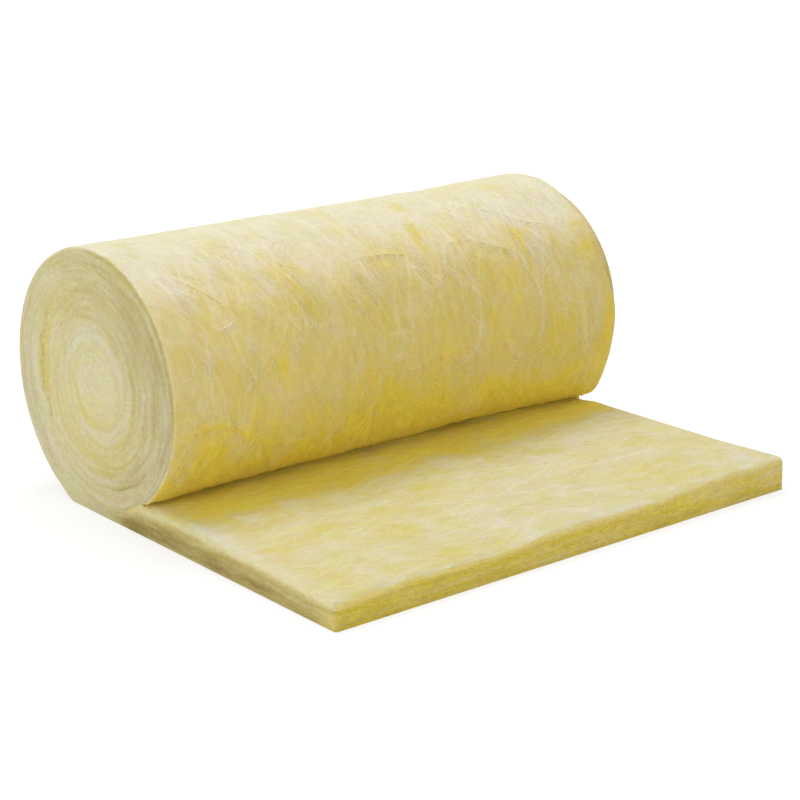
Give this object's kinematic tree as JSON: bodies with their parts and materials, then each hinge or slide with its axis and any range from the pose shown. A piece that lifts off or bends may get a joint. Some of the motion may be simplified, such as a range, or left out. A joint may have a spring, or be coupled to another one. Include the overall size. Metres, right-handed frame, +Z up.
{
  "type": "insulation roll",
  "caption": "Glass-wool insulation blanket wound into a soft roll, with its free end laid out flat in front of the roll.",
  "frame": {"origin": "on the floor, under the middle of the whole part", "axes": "+X from the roll towards the cut front edge of the laid-out blanket, +Y across the blanket's width, along the roll's axis, +Z up"},
  "size_m": [1.1508, 1.2, 0.5707],
  "materials": {
    "glass_wool": "matt, soft yellow glass fibre"
  },
  "bodies": {
    "root": {"glass_wool_blanket": "glass_wool"}
  },
  "joints": []
}
